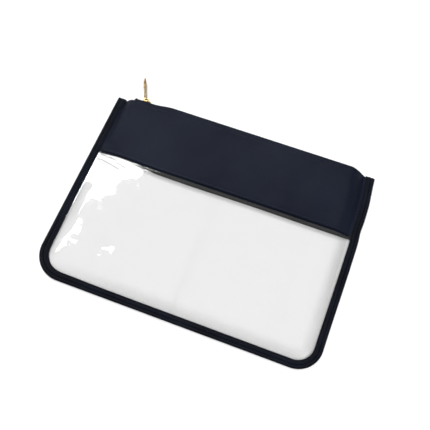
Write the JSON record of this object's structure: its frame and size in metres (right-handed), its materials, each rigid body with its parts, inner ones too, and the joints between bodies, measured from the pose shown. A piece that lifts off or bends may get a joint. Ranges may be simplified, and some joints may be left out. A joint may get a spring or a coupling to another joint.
{
  "type": "clear zip makeup bag",
  "caption": "Flat makeup pouch with clear vinyl windows, a dark nylon band and binding, and a top zip with a metal pull.",
  "frame": {"origin": "middle of the bag's plan, on the underside of the back window, which is the surface it lies on", "axes": "+X along the zip from its closed end to its open end, +Y from the bottom seam towards the zip, +Z out of the front"},
  "size_m": [0.2798, 0.2373, 0.0091],
  "materials": {
    "clear_vinyl": "clear gloss vinyl sheet",
    "band_nylon": "fine woven nylon, satin, near black navy",
    "binding_nylon": "ribbed nylon tape, dark navy",
    "seam_nylon": "nylon seam allowance",
    "thread": "black polyester thread",
    "zip_tape": "herringbone woven polyester tape",
    "zip_coil": "black nylon coil",
    "stops": "black stop",
    "gold_metal": "polished light gold plating"
  },
  "bodies": {
    "bag": {"edge_binding": "binding_nylon", "binding_thread": "thread", "back_clear_panel": "clear_vinyl", "back_nylon_band": "band_nylon", "back_seam_strip": "seam_nylon", "back_seam_thread": "thread", "back_zip_thread": "thread", "back_zipper_tape": "zip_tape", "back_coil": "zip_coil", "back_top_stop": "stops", "bottom_stop": "stops"},
    "front_panel": {"front_clear_panel": "clear_vinyl", "front_nylon_band": "band_nylon", "front_seam_strip": "seam_nylon", "front_seam_thread": "thread", "front_zipper_tape": "zip_tape", "front_coil": "zip_coil", "front_top_stop": "stops", "front_zip_thread": "thread"},
    "slider": {"slider_body": "gold_metal", "slider_bail": "gold_metal"},
    "pull": {"pull_tab": "gold_metal"}
  },
  "joints": [
    {"name": "zip_slide", "type": "slide", "parent": "bag", "child": "slider", "axis": [1, 0, 0], "range_m": [0, 0.21]},
    {"name": "pull_swing", "type": "hinge", "parent": "slider", "child": "pull", "pos_m": [-0.1114, 0.10535, 0.0045], "axis": [0, 0, 1], "range_deg": [-90, 42]},
    {"name": "mouth_open", "type": "hinge", "parent": "bag", "child": "front_panel", "pos_m": [0, -0.0986, 0.0045], "axis": [1, 0, 0], "range_deg": [0, 9.1]}
  ],
  "couplings": [
    {"joint": "mouth_open", "follows": "zip_slide", "rad_per_m": 0.75}
  ]
}
